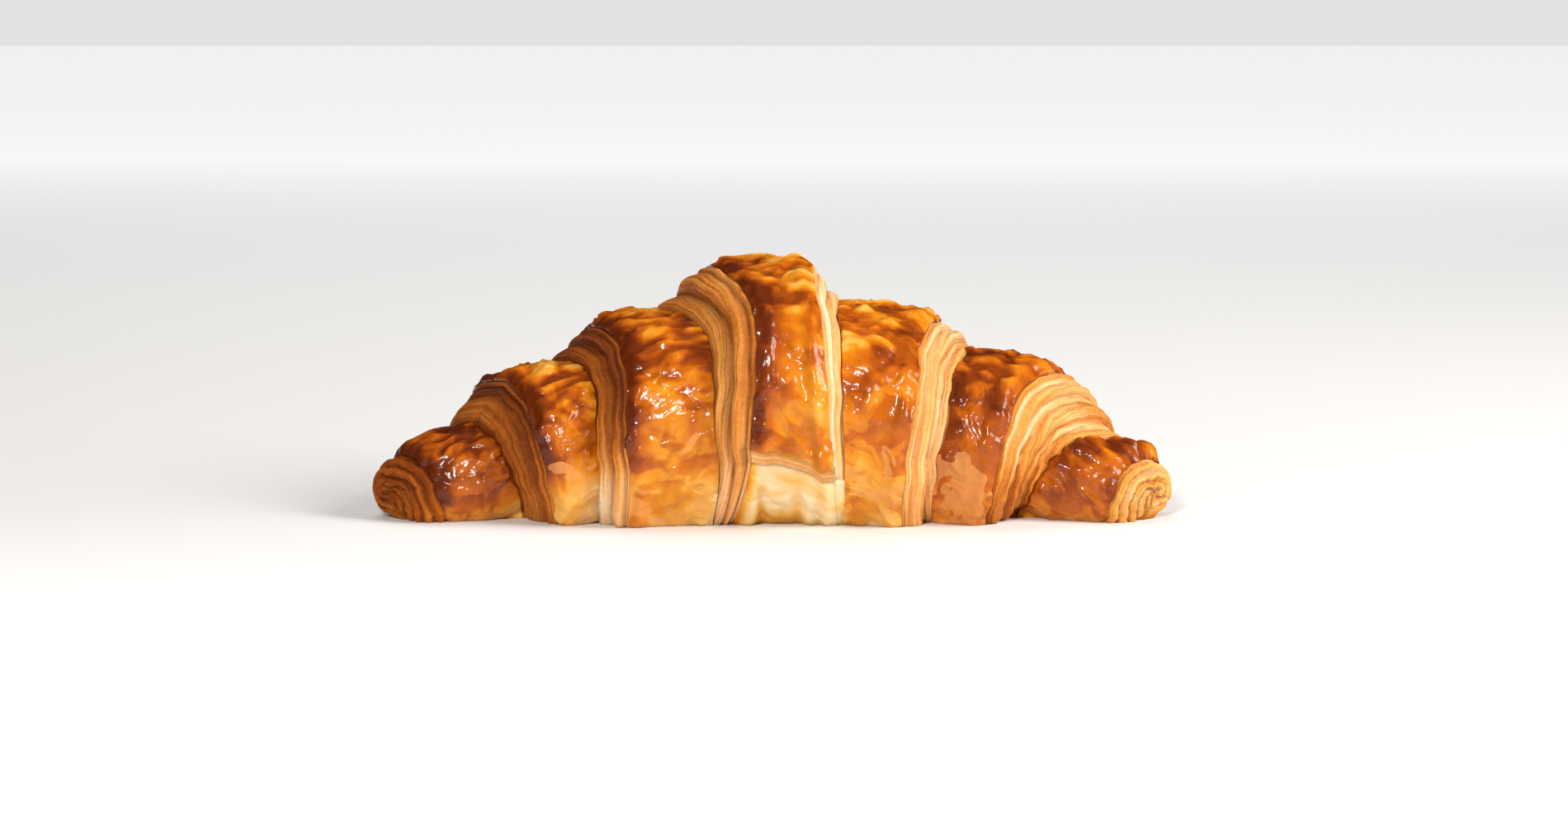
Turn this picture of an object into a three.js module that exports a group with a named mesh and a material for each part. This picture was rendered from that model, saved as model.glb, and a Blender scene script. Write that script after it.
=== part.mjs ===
// A baked butter croissant: one piece of laminated dough, rolled up from a long triangle.
// The narrow end of the triangle is the outermost wrap, a band over the middle that ends in a flap on the
// front. Under it the sheet gets wider with every turn of the roll, so the surface steps down from the
// crown to the two horns, and each step's edge runs in a spiral. The horns curve forward.
// Frame: +X from the left horn to the right horn, -Y the front with the flap, +Z up, in millimetres.
// The origin is on the flat underside, at the middle of the croissant's box.
import * as THREE from "three";
import { ParametricGeometry } from "three/addons/geometries/ParametricGeometry.js";

// Overall sizes of the baked croissant.
const length = 160;
const depth = 70;
const height = 52;

// How the horns curve forward of the middle.
const hornReach = 15;
const hornBend = 3.2; // power of the curve: higher keeps the middle straighter
const hornShortening = 0.07; // how much the bent horns draw the ends in
const shorteningPower = 2 * hornBend - 2; // power of the way that builds up along the roll

// The roll. Turn 0 is the free end of the flap, and turn numbers grow inwards along the sheet.
const flapAngle = -9.5; // where the flap ends, in degrees above the front
const flapSlant = 0.4; // how far that edge drops to the right, in degrees per millimetre
const lastTurn = 6;

// Where the sheet's two edges lie, as [turn, share of the way from the middle to the horn's end].
const leftEdge = [[0, 0.05], [0.31, 0.16], [0.6, 0.2], [1, 0.36], [1.31, 0.44], [1.6, 0.465], [2, 0.6],
  [2.31, 0.7], [2.6, 0.72], [3, 0.85], [4, 0.93], [5, 0.965], [6, 0.985], [7, 0.995]];
const rightEdge = [[0, 0.155], [0.31, 0.085], [0.6, 0.12], [1, 0.335], [1.31, 0.405], [1.6, 0.43], [2, 0.585],
  [2.31, 0.71], [2.6, 0.735], [3, 0.87], [4, 0.94], [5, 0.97], [6, 0.985], [7, 0.995]];

// Radius of the roll at each turn, as a share of the radius at the crown.
const middleRadius = [[-0.2, 1], [0, 0.97], [0.31, 1], [0.6, 0.95], [1, 0.85]];
const leftRadius = [...middleRadius, [1.31, 0.745], [1.6, 0.71], [2, 0.65], [2.31, 0.54], [2.6, 0.49],
  [3, 0.37], [3.31, 0.28], [4, 0.24], [5, 0.19], [6, 0.14], [7, 0.14]];
const rightRadius = [...middleRadius, [1.31, 0.765], [1.6, 0.73], [2, 0.67], [2.31, 0.61], [2.6, 0.52],
  [3, 0.35], [3.31, 0.23], [4, 0.2], [5, 0.17], [6, 0.13], [7, 0.13]];

// Radius of the roll on the underside, as [share of the way to the horn's end, share of the crown's].
const restRadius = [[0, 0.93], [0.3, 0.86], [0.5, 0.75], [0.7, 0.57], [0.85, 0.38], [1, 0.26]];

// How wide the sheet's cut edge shows at each turn, in millimetres along the roll.
const leftStep = [[0, 7], [0.2, 10], [0.31, 10.5], [0.6, 8], [1, 6.5], [2, 7], [3, 2], [4, 1], [5, 0.6],
  [6, 0.5], [7, 0.5]];
const rightStep = [[0, 2.2], [0.2, 5], [0.31, 6.5], [0.5, 5], [1, 7], [2, 9], [3, 2], [4, 1], [5, 0.6],
  [6, 0.5], [7, 0.5]];
const puff = 1.3; // how far each wrap swells between its edges
const puffFrom = 0.15; // turns in which the swelling grows from nothing beside the flap
const puffTo = 3; // turn where it has died away, at the horns' ends

// The cross-section at the crown, about the middle of the roll.
const crownRise = 29.5; // from the middle of the roll to the top
const restDrop = 28.5; // from the middle of the roll to the bottom, before the dough settles flat
const middleHeight = 22.5; // from the resting surface to the middle of the roll
const hornMiddle = 6.5; // the same at the horns' ends
const middleFall = 1.2; // power of the way the middle comes down to the horns
const sideFullness = 2.3; // power of the section's outline: 2 is an ellipse
const depthFall = 0.92; // power of the way the depth follows the radius
const horn = 8; // length of each horn's rounded end
const hornMiddleAt = 0.95; // share of the half length where the middle has come all the way down

// How finely the surface is divided.
const aroundRoll = 56;
const underFlap = 13; // how many of those divisions lie between the underside's middle and the flap's end
const flapFace = 0.8; // how steeply the flap's end face stands, in degrees around the roll
const acrossWrap = 4;
const acrossStep = 3;
const acrossHorn = 6;
const shownWraps = 4;
const leastWrap = 0.5; // the least width of a wrap between two steps, in millimetres

// Angles around the roll, in degrees above the front.
const topMiddle = 90;
const underMiddle = -90;
const turnOver = 360;
const underFront = -72; // the stations come back to their start between these two angles
const underBack = -108;
const settledFrom = -54; // the steps flatten out between these two angles, on either side of the underside
const settledTo = -70;
const slantedBand = 0.16; // share of the half length over which the flap's end runs at a slant
const slantTop = 60; // the angle above which the slant has died away

// A smooth curve through [place, value] points.
function curveThrough(points) {
  const places = points.map((point) => point[0]);
  const values = points.map((point) => point[1]);
  const curve = new THREE.CubicInterpolant(places, values, 1);
  return (place) => curve.evaluate(THREE.MathUtils.clamp(place, places[0], places.at(-1)))[0];
}

const restRadiusAt = curveThrough(restRadius);
const sides = {
  left: {
    sign: -1,
    edgeAtTurn: curveThrough(leftEdge),
    radiusAtTurn: curveThrough(leftRadius),
    stepAtTurn: curveThrough(leftStep),
  },
  right: {
    sign: 1,
    edgeAtTurn: curveThrough(rightEdge),
    radiusAtTurn: curveThrough(rightRadius),
    stepAtTurn: curveThrough(rightStep),
  },
};
const halfLength = length / 2;
const hornStart = halfLength - horn;

// Distance from the middle to the sheet's edge at a turn of the roll, and to the foot of the step there.
const edgeAt = (side, turn) => halfLength * side.edgeAtTurn(turn);
const footAt = (side, turn) => edgeAt(side, turn) + side.stepAtTurn(turn);

// Turns from the flap's free end to an angle. They are negative between the underside and the flap's end.
const turnAt = (angle) => (angle - flapAngle) / turnOver;

// How far the dough has settled flat on the tray: 0 on the sides and 1 on the underside.
function settledAt(angle) {
  const around = angle > topMiddle ? 2 * topMiddle - angle : angle;
  return 1 - THREE.MathUtils.smoothstep(around, settledTo, settledFrom);
}

// How far a point is turned down so that the flap's end runs at a slant.
function slantAt(station, angle) {
  const reach = slantedBand * halfLength;
  const near = angle < flapAngle
    ? THREE.MathUtils.smoothstep(angle, underMiddle, flapAngle)
    : 1 - THREE.MathUtils.smoothstep(angle, flapAngle, slantTop);
  return flapSlant * near * THREE.MathUtils.clamp(station, -reach, reach);
}

// Radius of the outermost wrap at a station along the roll and an angle around it.
function rollRadiusAt(side, station, angle) {
  const reach = Math.abs(station);
  const turn = turnAt(angle);
  const first = turn < 0 ? 1 : 0;
  let radius = side.radiusAtTurn(first + turn);
  for (let wrap = first; wrap < first + lastTurn; wrap += 1) {
    const passed = THREE.MathUtils.smoothstep(reach, edgeAt(side, wrap + turn), footAt(side, wrap + turn));
    radius += passed * (side.radiusAtTurn(wrap + 1 + turn) - side.radiusAtTurn(wrap + turn));
  }
  return THREE.MathUtils.lerp(radius, restRadiusAt(reach / halfLength), settledAt(angle));
}

// The swelling of a wrap between the foot of one step and the edge of the next.
function swellAt(side, station, angle) {
  const reach = Math.abs(station);
  const turn = turnAt(angle);
  for (let inner = turn < 0 ? 1 + turn : turn; inner < puffTo; inner += 1) {
    const from = footAt(side, inner);
    const to = edgeAt(side, inner + 1);
    const grown = THREE.MathUtils.smoothstep(inner, 0, puffFrom);
    const fading = 1 - THREE.MathUtils.smoothstep(inner, puffTo - puffFrom, puffTo);
    if (reach > from && reach < to) {
      return puff * grown * fading * Math.sin((Math.PI * (reach - from)) / (to - from));
    }
  }
  return 0;
}

// A point on the surface. The angle is 0 at the front and 90 at the top.
function surfacePoint(station, angle, target) {
  const side = station < 0 ? sides.left : sides.right;
  const share = Math.abs(station) / halfLength;
  const rounding = Math.sqrt(Math.max(0, 1 - Math.max(0, (Math.abs(station) - hornStart) / horn) ** 2));
  const radius = rollRadiusAt(side, station, angle) * rounding;
  const swell = swellAt(side, station, angle) * rounding;

  const turn = THREE.MathUtils.degToRad(angle - slantAt(station, angle));
  const cosine = Math.cos(turn);
  const sine = Math.sin(turn);
  const fullness = (Math.abs(cosine) ** sideFullness + Math.abs(sine) ** sideFullness) ** (-1 / sideFullness);
  const outward = -cosine * fullness * (0.5 * depth * radius ** depthFall + swell);
  const fallen = Math.min(1, share / hornMiddleAt) ** middleFall;
  const middle = THREE.MathUtils.lerp(middleHeight, hornMiddle, fallen);
  const upward = sine * fullness * ((sine > 0 ? crownRise : restDrop) * radius + swell);

  // The roll's middle line and its direction, which turns forward at the horns.
  const lineX = station * (1 - hornShortening * share ** shorteningPower);
  const lineY = -hornReach * share ** hornBend;
  const alongX = 1 - hornShortening * (shorteningPower + 1) * share ** shorteningPower;
  const alongY = -(Math.sign(station) * hornReach * hornBend * share ** (hornBend - 1)) / halfLength;
  const norm = Math.hypot(alongX, alongY);
  target.set(
    lineX - (outward * alongY) / norm,
    lineY + (outward * alongX) / norm,
    Math.max(0, middle + upward),
  );
}

// Stations follow the spiral edges, except on the underside, where they come back to where they began.
function columnTurn(angle) {
  const under = turnOver + underBack;
  const front = turnOver + underFront;
  const around = angle < underFront ? angle + turnOver : angle;
  if (around < under) return turnAt(around);
  if (around > front) return turnAt(around - turnOver);
  const back = THREE.MathUtils.smoothstep(around, under, front);
  return THREE.MathUtils.lerp(turnAt(under), turnAt(underFront), back);
}

// One side's columns, from the middle to the horn's end, as functions of the turn they follow.
function columnsOf(side) {
  const columns = [];
  for (let wrap = 0; wrap < shownWraps; wrap += 1) {
    const from = (turn) => (wrap ? footAt(side, wrap - 1 + turn) : 0);
    const to = (turn) => Math.max(edgeAt(side, wrap + turn), from(turn) + leastWrap);
    for (let i = 1; i <= acrossWrap; i += 1) {
      columns.push((turn) => THREE.MathUtils.lerp(from(turn), to(turn), i / acrossWrap));
    }
    for (let i = 1; i <= acrossStep; i += 1) {
      columns.push((turn) => to(turn) + (side.stepAtTurn(wrap + turn) * i) / acrossStep);
    }
  }
  const last = columns.at(-1);
  for (let i = 1; i <= acrossHorn; i += 1) {
    const share = Math.sin((0.5 * Math.PI * i) / acrossHorn);
    columns.push((turn) => THREE.MathUtils.lerp(last(turn), halfLength, share));
  }
  return columns.map((column) => (turn) => side.sign * Math.min(column(turn), halfLength));
}

// The angles of the divisions around the roll, with the flap's end face between two close ones.
function angleOf(row) {
  if (row < underFlap) return THREE.MathUtils.lerp(underMiddle, flapAngle - flapFace, row / (underFlap - 1));
  const share = (row - underFlap) / (aroundRoll - underFlap);
  return THREE.MathUtils.lerp(flapAngle, underMiddle + turnOver, share);
}

const columns = [...columnsOf(sides.left).reverse(), () => 0, ...columnsOf(sides.right)];

// The closed surface, then brought to the overall sizes with its underside's middle at the origin.
function croissantGeometry() {
  const slices = columns.length - 1;
  const geometry = new ParametricGeometry((u, v, target) => {
    const angle = angleOf(Math.round(v * aroundRoll));
    const column = columns[Math.round(u * slices)];
    surfacePoint(column(columnTurn(angle)), angle, target);
  }, slices, aroundRoll);
  geometry.computeBoundingBox();
  const size = geometry.boundingBox.getSize(new THREE.Vector3());
  geometry.scale(length / size.x, depth / size.y, height / size.z);
  geometry.computeBoundingBox();
  const middle = geometry.boundingBox.getCenter(new THREE.Vector3());
  return geometry.translate(-middle.x, -middle.y, -geometry.boundingBox.min.z);
}

const crust = new THREE.MeshStandardMaterial({ color: "#b5651d", roughness: 0.35, metalness: 0 });

const croissant = new THREE.Mesh(croissantGeometry(), crust);
croissant.name = "croissant";

const group = new THREE.Group();
group.add(croissant);

export default group;
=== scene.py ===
"""The looks of a baked butter croissant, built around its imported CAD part.

The croissant is one sheet of laminated dough, rolled up from a long triangle. Its surface is worked out the
way the roll was made: every wrap ends at an edge that runs in a spiral, and a band of cut layers steps down
from that edge to the wrap inside it. Lengths here are in millimetres until a mesh is made.
"""

import logging
import math
from dataclasses import asdict, dataclass, field
from enum import Enum
from functools import cached_property

import bpy
import numpy as np
from bpy.types import ColorRamp, Material, Mesh, Node, NodeSocket, NodeTree, Object
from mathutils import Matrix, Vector


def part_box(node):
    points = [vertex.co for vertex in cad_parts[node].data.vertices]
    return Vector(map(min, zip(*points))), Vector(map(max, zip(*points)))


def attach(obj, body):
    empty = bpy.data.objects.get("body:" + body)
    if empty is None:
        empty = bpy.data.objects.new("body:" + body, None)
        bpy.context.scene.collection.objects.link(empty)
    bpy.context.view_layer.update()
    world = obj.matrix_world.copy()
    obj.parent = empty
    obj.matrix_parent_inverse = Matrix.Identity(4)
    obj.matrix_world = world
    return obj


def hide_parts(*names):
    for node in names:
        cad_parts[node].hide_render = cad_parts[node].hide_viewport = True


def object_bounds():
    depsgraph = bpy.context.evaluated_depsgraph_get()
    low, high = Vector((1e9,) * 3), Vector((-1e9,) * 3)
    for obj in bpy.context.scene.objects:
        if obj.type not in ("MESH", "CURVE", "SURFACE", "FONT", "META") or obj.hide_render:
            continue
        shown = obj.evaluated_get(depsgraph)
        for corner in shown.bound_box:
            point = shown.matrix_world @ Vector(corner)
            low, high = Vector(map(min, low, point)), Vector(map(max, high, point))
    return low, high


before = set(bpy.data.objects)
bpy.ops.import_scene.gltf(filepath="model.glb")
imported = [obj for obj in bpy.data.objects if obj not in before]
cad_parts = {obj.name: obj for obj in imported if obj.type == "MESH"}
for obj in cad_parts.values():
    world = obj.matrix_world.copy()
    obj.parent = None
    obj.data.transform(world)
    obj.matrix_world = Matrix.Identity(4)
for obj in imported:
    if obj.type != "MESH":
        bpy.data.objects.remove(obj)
CAD_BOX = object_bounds()

LOG = logging.getLogger("croissant")
Array = np.ndarray
MM = 0.001
NODE = "croissant"
BODY = "root"
FAR = 99.0  # Millimetres, out of reach of any lip or foot.
MARKS = ("bake", "cut", "glaze", "worn", "crevice", "layer", "across")

# Node types that the trees use often.
MATH = "ShaderNodeMath"
VECTOR = "ShaderNodeVectorMath"
RANGE = "ShaderNodeMapRange"
NOISE = "ShaderNodeTexNoise"
MIX = "ShaderNodeMix"


def linear(code: str, alpha: float = 1.0) -> tuple[float, float, float, float]:
    """Turns an sRGB hex colour into linear light.

    Args:
        code: The colour as "#RRGGBB".
        alpha: The fourth value of the result.

    Returns:
        Red, green, blue and alpha.
    """
    shares = [int(code[i:i + 2], 16) / 255 for i in (1, 3, 5)]
    red, green, blue = (c / 12.92 if c <= 0.04045 else ((c + 0.055) / 1.055) ** 2.4 for c in shares)
    return red, green, blue, alpha


def put(tree: NodeTree, kind: str, inputs: dict | None = None, **settings) -> Node:
    """Adds a node with its settings and its links.

    Args:
        tree: The tree that gets the node.
        kind: The node's type name.
        inputs: For each input, by name or number, its value, or the socket or node that feeds it.
        **settings: The node's own properties.

    Returns:
        The node.
    """
    node = tree.nodes.new(kind)
    for name, value in settings.items():
        setattr(node, name, value)
    for key, value in (inputs or {}).items():
        if isinstance(value, Node):
            value = value.outputs[0]
        if isinstance(value, NodeSocket):
            tree.links.new(value, node.inputs[key])
        else:
            node.inputs[key].default_value = value
    return node


def add_up(tree: NodeTree, start: float | NodeSocket, *terms: tuple) -> Node:
    """Adds up values in a tree.

    Args:
        tree: The tree.
        start: What the sum starts from.
        *terms: (value, weight) pairs. Each is a number, a socket or a node.

    Returns:
        The node with the sum.
    """
    for value, weight in terms:
        start = put(tree, MATH, {0: value, 1: weight, 2: start}, operation="MULTIPLY_ADD")
    return start


def run_tree(piece: Object, tree: NodeTree, values: dict) -> None:
    """Runs a Geometry Nodes tree on a piece and keeps the result as the piece's plain mesh.

    Args:
        piece: The piece.
        tree: The tree.
        values: A value for each of the tree's named inputs.
    """
    modifier = piece.modifiers.new(tree.name, "NODES")
    modifier.node_group = tree
    for socket in tree.interface.items_tree:
        if socket.in_out == "INPUT" and socket.name in values:
            modifier[socket.identifier] = values[socket.name]
    bpy.context.view_layer.update()
    made = bpy.data.meshes.new_from_object(piece.evaluated_get(bpy.context.evaluated_depsgraph_get()))
    piece.modifiers.remove(modifier)
    old, piece.data = piece.data, made
    bpy.data.meshes.remove(old)


def ease(value: Array, start: float | Array, end: float | Array) -> Array:
    """A smooth step.

    Args:
        value: Where to look.
        start: Below this the result is 0.
        end: Past this the result is 1.

    Returns:
        The step's height at each value.
    """
    share = np.clip((value - start) / (end - start), 0.0, 1.0)
    return share * share * (3.0 - 2.0 * share)


def blend(start: Array | float, end: Array | float, share: Array | float) -> Array:
    """The value a share of the way from start to end."""
    return start + (end - start) * share


def hump(value: Array, width: float | Array, middle: float = 0.0) -> Array:
    """A smooth hump: 1 at its middle, and about a third of that a width away."""
    return np.exp(-((value - middle) / width) ** 2)


def rounded(share: Array, fullness: float = 1.8, power: float = 0.6) -> Array:
    """A layer's rounded back: 1 half way across it, and 0 at its sides, where share is 0 and 1."""
    return np.clip(1.0 - abs(2.0 * share - 1.0) ** fullness, 0.0, 1.0) ** power


@dataclass(frozen=True)
class Profile:
    """A smooth curve through points.

    Attributes:
        points: (place, value) pairs, in the order of their places.
    """

    points: tuple[tuple[float, float], ...]

    def __call__(self, place: Array | float) -> Array:
        """The curve's value.

        Args:
            place: Where to look. Past an end, the end's value holds.

        Returns:
            The value at each place.
        """
        at, value = np.array(self.points).T
        slope = np.empty_like(value)
        slope[1:-1] = (value[2:] - value[:-2]) / (at[2:] - at[:-2])
        slope[0] = 1.5 * (value[1] - value[0]) / (at[1] - at[0]) - 0.5 * slope[1]
        slope[-1] = 1.5 * (value[-1] - value[-2]) / (at[-1] - at[-2]) - 0.5 * slope[-2]
        inside = np.clip(place, at[0], at[-1])
        i = np.clip(np.searchsorted(at, inside, side="right") - 1, 0, len(at) - 2)
        span = at[i + 1] - at[i]
        s = (inside - at[i]) / span
        return (value[i] * (1 + 2 * s) * (1 - s) ** 2 + slope[i] * span * s * (1 - s) ** 2
                + value[i + 1] * s * s * (3 - 2 * s) + slope[i + 1] * span * s * s * (s - 1))


class Hand(Enum):
    """Which half of the roll, and the sign of its stations along X."""

    LEFT = -1
    RIGHT = 1


@dataclass(frozen=True)
class HalfRoll:
    """One half of the rolled sheet. Turn 0 is the flap's free end, and turns grow inwards along the sheet.

    Attributes:
        hand: Left or right.
        edge: The sheet's edge at each turn, as a share of the half length.
        radius: The roll's radius at each turn, as a share of the crown's.
        step: How wide the cut layers show at each turn.
        plies: The shares of each step that its thick layers take, from the skin's edge down to the foot.
        browned: How much darker or paler each wrap's skin is baked than the roll as a whole.
        cut_top: How far each step's layers are baked at the top, and last the horn's end.
        cut_low: The same at the bottom.
        lip_ridges: How far each wrap's skin rolls up beside its edge.
        lip_painted_shade: Painted shade: how much darker the skins are coloured beside their edges, where
            they curve away from the light.
        least_browned: The least that each wrap's skin is baked.
        contrast: How much the thick layers differ in colour.
        shadow: How dark the gaps between them are.
    """

    hand: Hand
    edge: Profile
    radius: Profile
    step: Profile
    plies: tuple[tuple[float, ...], ...]
    browned: tuple[float, ...]
    cut_top: tuple[float, ...]
    cut_low: tuple[float, ...]
    lip_ridges: tuple[float, ...]
    lip_painted_shade: float
    least_browned: tuple[float, ...]
    contrast: float
    shadow: float


MIDDLE = ((0.0, 0.97), (0.31, 1.0), (0.6, 0.95), (1.0, 0.85))
LEFT = HalfRoll(
    hand=Hand.LEFT,
    edge=Profile(((-0.19, 0.15), (-0.1, 0.085), (-0.03, 0.05), (0.0, 0.05), (0.15, 0.045), (0.31, 0.16),
                  (0.6, 0.2), (0.85, 0.35), (1.0, 0.37), (1.15, 0.375), (1.31, 0.45), (1.6, 0.465),
                  (2.0, 0.6), (2.31, 0.7), (2.6, 0.72), (3.0, 0.925), (3.4, 0.94), (3.81, 0.95))),
    radius=Profile(MIDDLE + ((1.31, 0.745), (1.6, 0.71), (2.0, 0.65), (2.31, 0.54), (2.6, 0.49), (3.0, 0.36),
                             (3.31, 0.29), (4.0, 0.25))),
    step=Profile(((-0.19, 3.0), (-0.1, 4.5), (0.0, 7.0), (0.2, 10.0), (0.31, 10.5), (0.6, 8.0), (1.0, 6.5),
                  (2.0, 7.0), (3.0, 2.0))),
    plies=((0.17, 0.35, 0.48), (0.16, 0.3, 0.54), (0.15, 0.2, 0.65)),
    browned=(-0.01, 0.08, 0.06, 0.22),
    cut_top=(0.54, 0.8, 0.78, 0.0, 0.76),
    cut_low=(0.24, 0.14, 0.5, 0.0, 0.62),
    lip_ridges=(0.6, 0.6, 0.6, 0.6),
    lip_painted_shade=0.5,
    least_browned=(0.0, 0.0, 0.3, 0.52),
    contrast=-0.16,
    shadow=0.9,
)
RIGHT = HalfRoll(
    hand=Hand.RIGHT,
    edge=Profile(((-0.19, 0.165), (-0.05, 0.155), (0.0, 0.15), (0.31, 0.085), (0.6, 0.12), (0.85, 0.31),
                  (1.0, 0.335), (1.31, 0.405), (1.6, 0.43), (2.0, 0.585), (2.31, 0.71), (2.6, 0.735),
                  (3.0, 0.94), (3.4, 0.95), (3.81, 0.955))),
    radius=Profile(MIDDLE + ((1.31, 0.765), (1.6, 0.73), (2.0, 0.67), (2.31, 0.61), (2.6, 0.52), (3.0, 0.34),
                             (3.31, 0.27), (4.0, 0.22))),
    step=Profile(((-0.19, 1.4), (0.0, 2.2), (0.2, 5.0), (0.31, 6.5), (0.5, 5.0), (1.0, 7.0), (1.31, 8.0),
                  (2.0, 9.0), (2.31, 12.0), (3.0, 2.0))),
    plies=((0.3, 0.3, 0.4), (0.14, 0.14, 0.36, 0.12, 0.24), (0.12, 0.09, 0.15, 0.1, 0.22, 0.12, 0.2)),
    browned=(-0.05, 0.06, 0.27, 0.2),
    cut_top=(0.16, 0.25, 0.32, 0.0, 0.26),
    cut_low=(0.1, 0.24, 0.56, 0.0, 0.3),
    lip_ridges=(1.1, 0.7, 0.6, 0.6),
    lip_painted_shade=0.04,
    least_browned=(0.0, 0.0, 0.34, 0.46),
    contrast=0.2,
    shadow=0.5,
)


@dataclass(frozen=True)
class RollSizes:
    """The sizes of the whole roll, in millimetres, and its angles, in degrees around it from the front.

    Attributes:
        half_length: From the middle to each horn's end.
        depth: From front to back.
        horn_reach: How far the horns come forward.
        horn_bend: Power of that curve.
        horn_shortening: How much it draws the ends in.
        crown_rise: From the roll's middle to its top.
        rest_drop: From the roll's middle to its bottom, before it settles.
        rest_softness: How softly the sides meet the flat underside.
        middle_height: Height of the roll's middle.
        horn_middle: The same at the horns' ends.
        middle_fall: Power of the way between them.
        horn_middle_at: Share of the half length where it ends.
        horn_taper: How thick the last skins end, as a share of how they start.
        taper_power: Power of that taper.
        side_fullness: Power of the section's outline. 2 is an ellipse.
        depth_fall: Power of the way the depth follows the radius.
        puff: How far each wrap swells.
        puff_grows: Turns over which the swelling grows.
        puff_fades: Turns over which it dies away.
        raggedness: How far the edges wander.
        flap_angle: Where the flap's lip is.
        flap_slant: Degrees that the lip drops for each millimetre to the right.
        flap_face: The end face's height in degrees.
        backing: Shares of the outer wrap that go on below the flap, low down and at its foot.
        slanted_band: How far from the middle the slant goes on.
        slant_top: Where it has died away.
        under: Straight down.
        turn_back: How far beside that the columns turn back.
        flat_below: The dough is settled flat below this.
        free_above: It is round above this.
        front_foot: Where the front's close rows start.
        back_top: Where they end.
        back_foot: Where the underside starts again.
        bake: How far the skin is baked at each share of its height.
        rest_radius: The radius underneath along the half length, as a share of the crown's.
    """

    half_length: float
    depth: float
    horn_reach: float = 15.0
    horn_bend: float = 3.2
    horn_shortening: float = 0.07
    crown_rise: float = 29.5
    rest_drop: float = 28.5
    rest_softness: float = 0.6
    middle_height: float = 22.5
    horn_middle: float = 6.5
    middle_fall: float = 1.2
    horn_middle_at: float = 0.95
    horn_taper: float = 0.74
    taper_power: float = 1.3
    side_fullness: float = 2.3
    depth_fall: float = 0.92
    puff: float = 1.3
    puff_grows: tuple[float, float] = (-0.05, 0.15)
    puff_fades: tuple[float, float] = (2.4, 2.9)
    raggedness: float = 0.6
    flap_angle: float = -9.5
    flap_slant: float = 0.4
    flap_face: float = 8.5
    backing: tuple[float, float] = (0.12, 0.24)
    slanted_band: float = 12.8
    slant_top: float = 60.0
    under: float = -90.0
    turn_back: float = 18.0
    flat_below: float = -74.0
    free_above: float = -58.0
    front_foot: float = -66.0
    back_top: float = 150.0
    back_foot: float = 246.0
    bake: Profile = Profile(((0.0, 0.24), (0.2, 0.4), (0.4, 0.57), (0.7, 0.6), (1.0, 0.54)))
    rest_radius: Profile = Profile(((0.0, 0.93), (0.3, 0.86), (0.5, 0.75), (0.7, 0.57), (0.85, 0.38),
                                    (1.0, 0.26)))

    @property
    def face_foot(self) -> float:
        """The angle where the flap's end face meets the wrap below it."""
        return self.flap_angle - self.flap_face


@dataclass(frozen=True)
class Columns:
    """The columns of one half's grid, from the middle outwards.

    Attributes:
        station: Distance along the roll for each row and column.
        wrap: The wrap that each column lies on.
        cut: 1 on columns of cut layers and 0 on skin.
        share: How far across its skin, step or end each column lies.
        end: 1 on the columns of the horn's end.
    """

    station: Array
    wrap: Array
    cut: Array
    share: Array
    end: Array


@dataclass(frozen=True)
class Zones:
    """Where the parts of the flap lie, for each row and column of one half.

    Attributes:
        skin: Not in a step.
        outer: On the outermost wrap.
        past: Degrees above the flap's lip.
        face: The share of the way up the flap's end face.
        on_face: On that face.
        below: On the panel below it.
        hidden: In the part of the right step that the panel covers.
    """

    skin: Array
    outer: Array
    past: Array
    face: Array
    on_face: Array
    below: Array
    hidden: Array


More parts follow.
